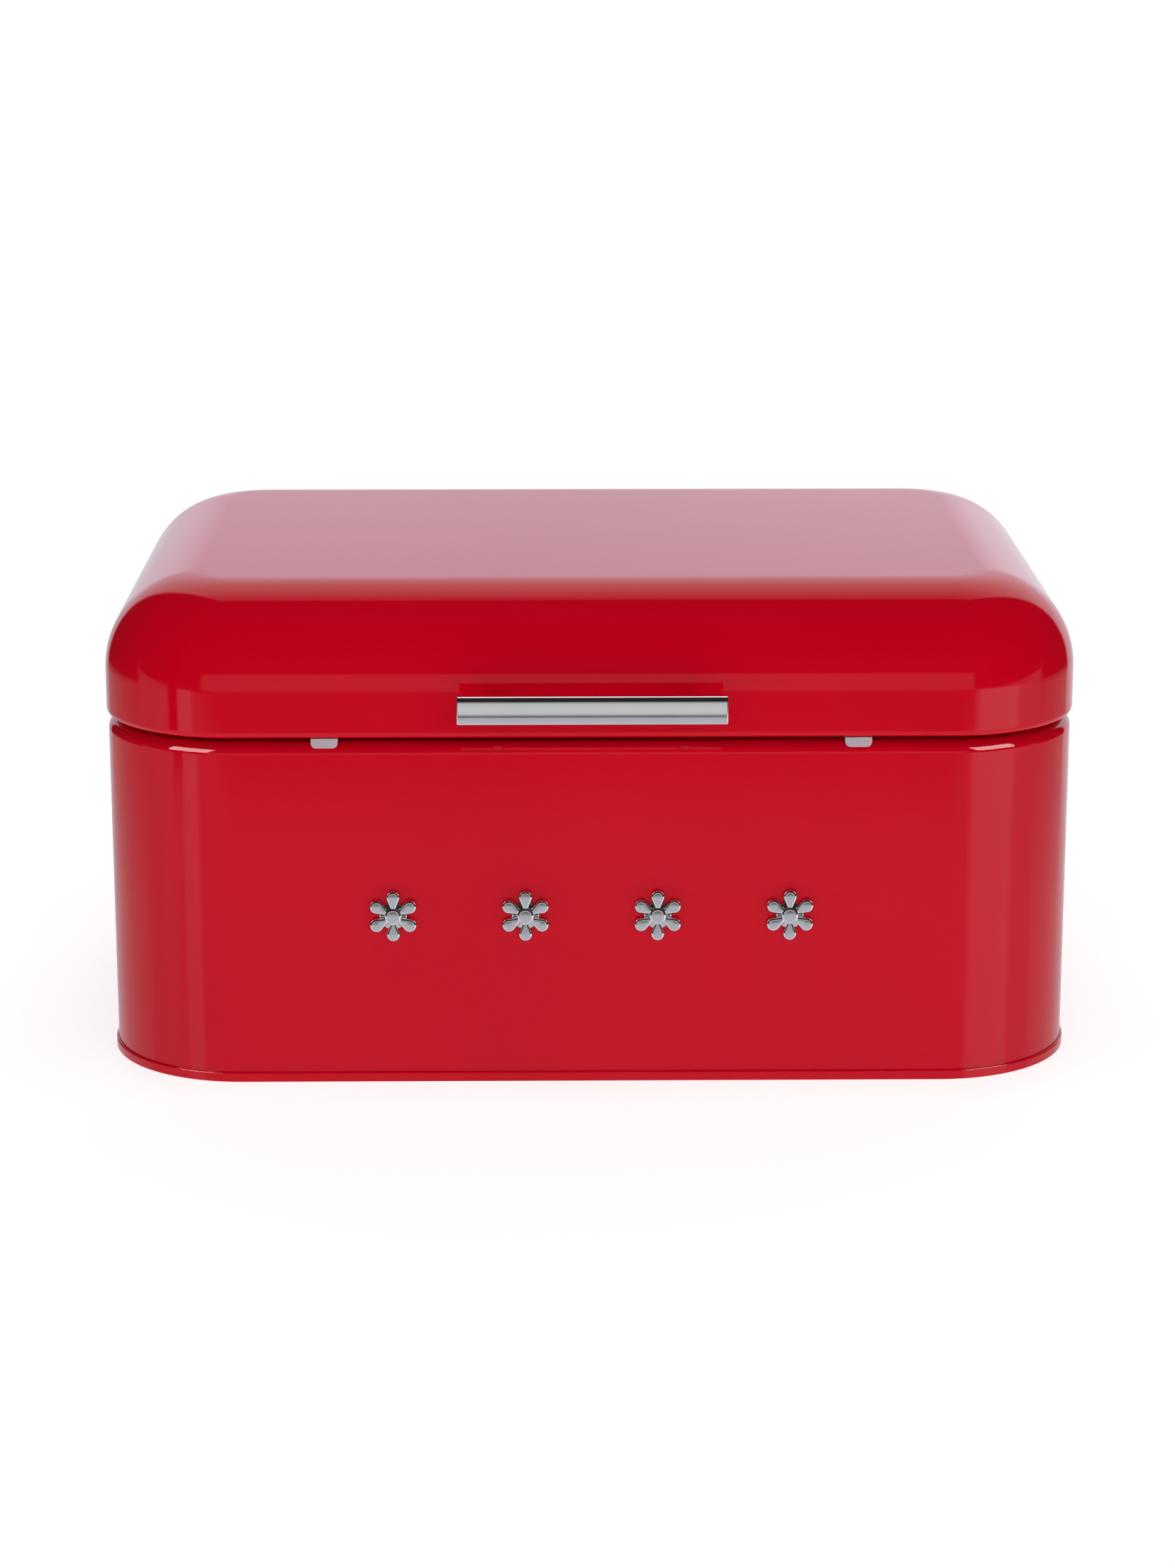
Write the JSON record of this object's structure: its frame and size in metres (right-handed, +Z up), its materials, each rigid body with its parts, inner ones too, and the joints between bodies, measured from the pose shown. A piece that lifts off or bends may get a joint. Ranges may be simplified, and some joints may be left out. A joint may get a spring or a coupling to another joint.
{
  "type": "bread bin",
  "caption": "Rounded-rectangle sheet-steel bread bin with a deep domed lid on rear hinges, a chrome bar handle, soft rim bumpers and chrome rosettes on the front.",
  "frame": {"origin": "middle of the overall footprint (handle to hinges) on the surface it stands on", "axes": "+X to the right seen from the front, along the bin's length; +Y from the front to the hinged back; +Z up"},
  "size_m": [0.3362, 0.2612, 0.1704],
  "materials": {
    "red_enamel": "gloss",
    "chrome": "polished",
    "steel": "satin",
    "silicone": "satin",
    "adhesive": "matte"
  },
  "bodies": {
    "bin": {"body_wall": "red_enamel", "base_pan": "red_enamel", "rosette_1": "chrome", "rosette_2": "chrome", "rosette_3": "chrome", "rosette_4": "chrome", "hinge_body_leaf_left": "steel", "hinge_body_leaf_right": "steel", "hinge_pin_left": "steel", "hinge_pin_right": "steel", "body_rivets": "steel", "rosette_pads": "adhesive"},
    "lid": {"lid_shell": "red_enamel", "handle_bar": "chrome", "handle_spacers": "chrome", "handle_screws": "steel", "handle_washers": "steel", "bumper_left": "silicone", "bumper_right": "silicone", "hinge_lid_leaf_left": "steel", "hinge_lid_leaf_right": "steel", "lid_rivets": "steel"}
  },
  "joints": [
    {"name": "lid_hinge", "type": "hinge", "parent": "bin", "child": "lid", "pos_m": [0, 0.12668, 0.12052], "axis": [-1, 0, 0], "range_deg": [0, 98]}
  ]
}
